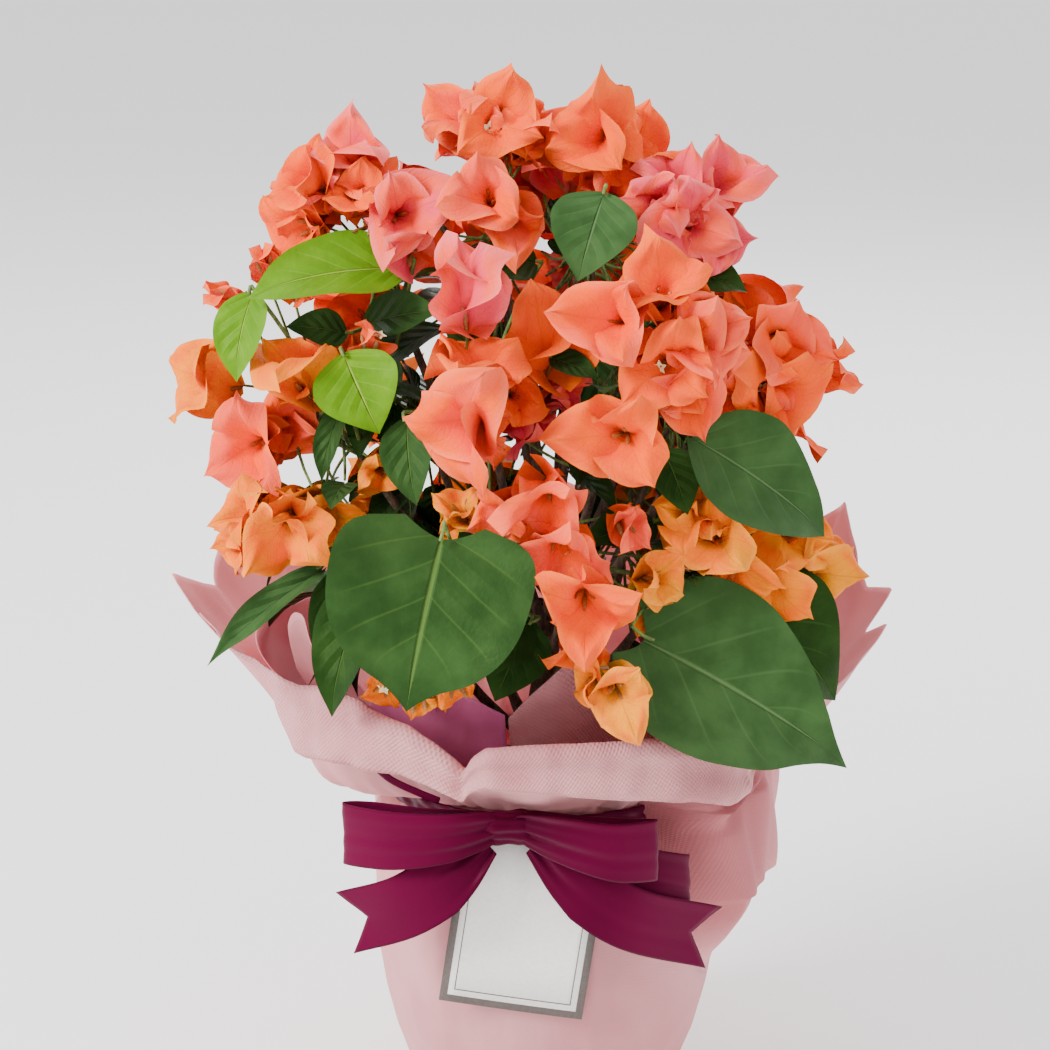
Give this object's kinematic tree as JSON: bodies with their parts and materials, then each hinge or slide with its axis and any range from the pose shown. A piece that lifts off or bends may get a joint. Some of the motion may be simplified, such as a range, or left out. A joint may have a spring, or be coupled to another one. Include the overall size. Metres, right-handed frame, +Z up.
{
  "type": "gift-wrapped potted bougainvillea bush",
  "caption": "Flowering bougainvillea bush in a pot inside a gathered non-woven wrap, tied with a ribbon bow and carrying a plain card.",
  "frame": {"origin": "centre of the flat underside, on the floor", "axes": "+Z up; the bow, the card and the folded cuff of the wrap face -Y"},
  "size_m": [0.3258, 0.2832, 0.4829],
  "materials": {
    "bark": "rough grey-brown bark",
    "card": "off-white card with a taupe border",
    "coral_bracts": "papery bracts in coral and salmon pink",
    "golden_bracts": "papery bracts in golden orange",
    "leaves": "smooth, half glossy leaves",
    "plum_lining": "matt non-woven cloth in plum",
    "pot": "dark grey-brown plastic",
    "ribbon": "satin",
    "soil": "moist potting mix",
    "wrap": "matt non-woven cloth in dusty pink"
  },
  "bodies": {
    "root": {"bloom_back_lower_1": "coral_bracts", "bloom_back_lower_2": "coral_bracts", "bloom_back_middle_1": "coral_bracts", "bloom_back_middle_2": "coral_bracts", "bloom_back_middle_3": "coral_bracts", "bloom_back_upper_1": "coral_bracts", "bloom_back_upper_2": "coral_bracts", "bloom_front": "coral_bracts", "bloom_front_right": "coral_bracts", "bloom_low_front": "coral_bracts", "bloom_low_right": "coral_bracts", "bloom_right": "coral_bracts", "bloom_top_left": "coral_bracts", "bloom_top_right": "coral_bracts", "bloom_upper_left": "coral_bracts", "bloom_upper_right": "coral_bracts", "bough_of_bloom_back_lower_1": "bark", "bough_of_bloom_back_lower_2": "bark", "bough_of_bloom_back_middle_1": "bark", "bough_of_bloom_back_middle_2": "bark", "bough_of_bloom_back_middle_3": "bark", "bough_of_bloom_back_upper_1": "bark", "bough_of_bloom_back_upper_2": "bark", "bough_of_bloom_front": "bark", "bough_of_bloom_front_right": "bark", "bough_of_bloom_low_front": "bark", "bough_of_bloom_low_right": "bark", "bough_of_bloom_right": "bark", "bough_of_bloom_top_right": "bark", "bough_of_bloom_upper_left": "bark", "bough_of_bloom_upper_right": "bark", "bough_of_leaf_front": "bark", "bough_of_spray_left": "bark", "bough_of_spray_low_left": "bark", "bow_band": "ribbon", "bow_knot": "ribbon", "bow_loop_left": "ribbon", "bow_loop_low": "ribbon", "bow_loop_right": "ribbon", "bow_tail_left": "ribbon", "bow_tail_right": "ribbon", "gift_card": "card", "leaf_front": "leaves", "lining_fold_front": "wrap", "lining_fold_left": "wrap", "lining_plum": "plum_lining", "pot": "pot", "soil": "soil", "spray_left": "golden_bracts", "spray_low_left": "golden_bracts", "trunk": "bark", "wrap_corner_back": "wrap", "wrap_corner_back_left": "wrap", "wrap_corner_back_right": "wrap", "wrap_cuff_left": "wrap", "wrap_cuff_right": "wrap", "wrap_flap_right": "wrap", "wrap_sleeve": "wrap", "wrap_tip_left": "wrap", "wrap_tips_right": "wrap"}
  },
  "joints": []
}
